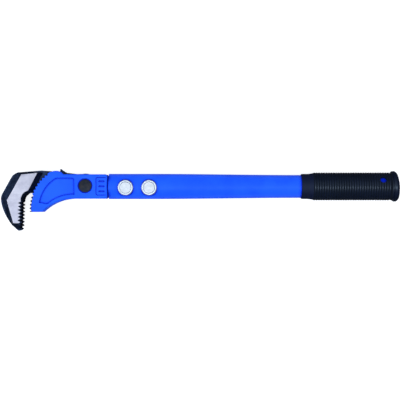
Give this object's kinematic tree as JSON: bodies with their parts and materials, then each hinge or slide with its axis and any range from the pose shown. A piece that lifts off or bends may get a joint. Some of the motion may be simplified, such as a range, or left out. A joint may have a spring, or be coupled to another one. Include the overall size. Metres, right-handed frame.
{
  "type": "self-adjusting pipe wrench",
  "caption": "Self-adjusting pipe wrench with a sprung, toothed hook jaw pivoted between the cheeks of a toothed head, a riveted tube handle and a ribbed rubber grip.",
  "frame": {"origin": "centre of the bottom of the whole wrench's box, with the wrench lying on its side", "axes": "+X along the handle from the jaws to the grip, +Y from the open side of the jaws to the back of the hook, +Z through the thickness"},
  "size_m": [0.4482, 0.0694, 0.0344],
  "materials": {
    "blue_paint": "smooth glossy enamel",
    "black_steel": "black finished forging with ground bright side faces",
    "dark_steel": "dark oiled steel",
    "hard_steel": "ground hardened steel",
    "spring_steel": "drawn spring wire",
    "rivet_zinc": "bright zinc plate",
    "washer_zinc": "bright zinc plate",
    "grip_rubber": "matte ribbed rubber"
  },
  "bodies": {
    "handle": {"head": "blue_paint", "pivot_pin": "dark_steel", "return_spring": "spring_steel", "front_rivet": "rivet_zinc", "rear_rivet": "rivet_zinc", "front_washer_near": "washer_zinc", "front_washer_far": "washer_zinc", "rear_washer_near": "washer_zinc", "rear_washer_far": "washer_zinc", "handle_tube": "blue_paint", "grip": "grip_rubber"},
    "hook": {"hook_jaw": "black_steel"},
    "plunger": {"spring_plunger": "hard_steel"}
  },
  "joints": [
    {"name": "hook_swing", "type": "hinge", "parent": "handle", "child": "hook", "pos_m": [-0.12898, 0.01575, 0.0172], "axis": [0, 0, -1], "range_deg": [0, 45], "stiffness_Nm_per_rad": 0.2, "springref_deg": -35.81},
    {"name": "plunger_slide", "type": "slide", "parent": "handle", "child": "plunger", "axis": [1, 0, 0], "range_m": [0, 0.00395], "deforming": ["return_spring"]}
  ],
  "couplings": [
    {"joint": "plunger_slide", "follows": "hook_swing", "m_per_rad": 0.005}
  ]
}
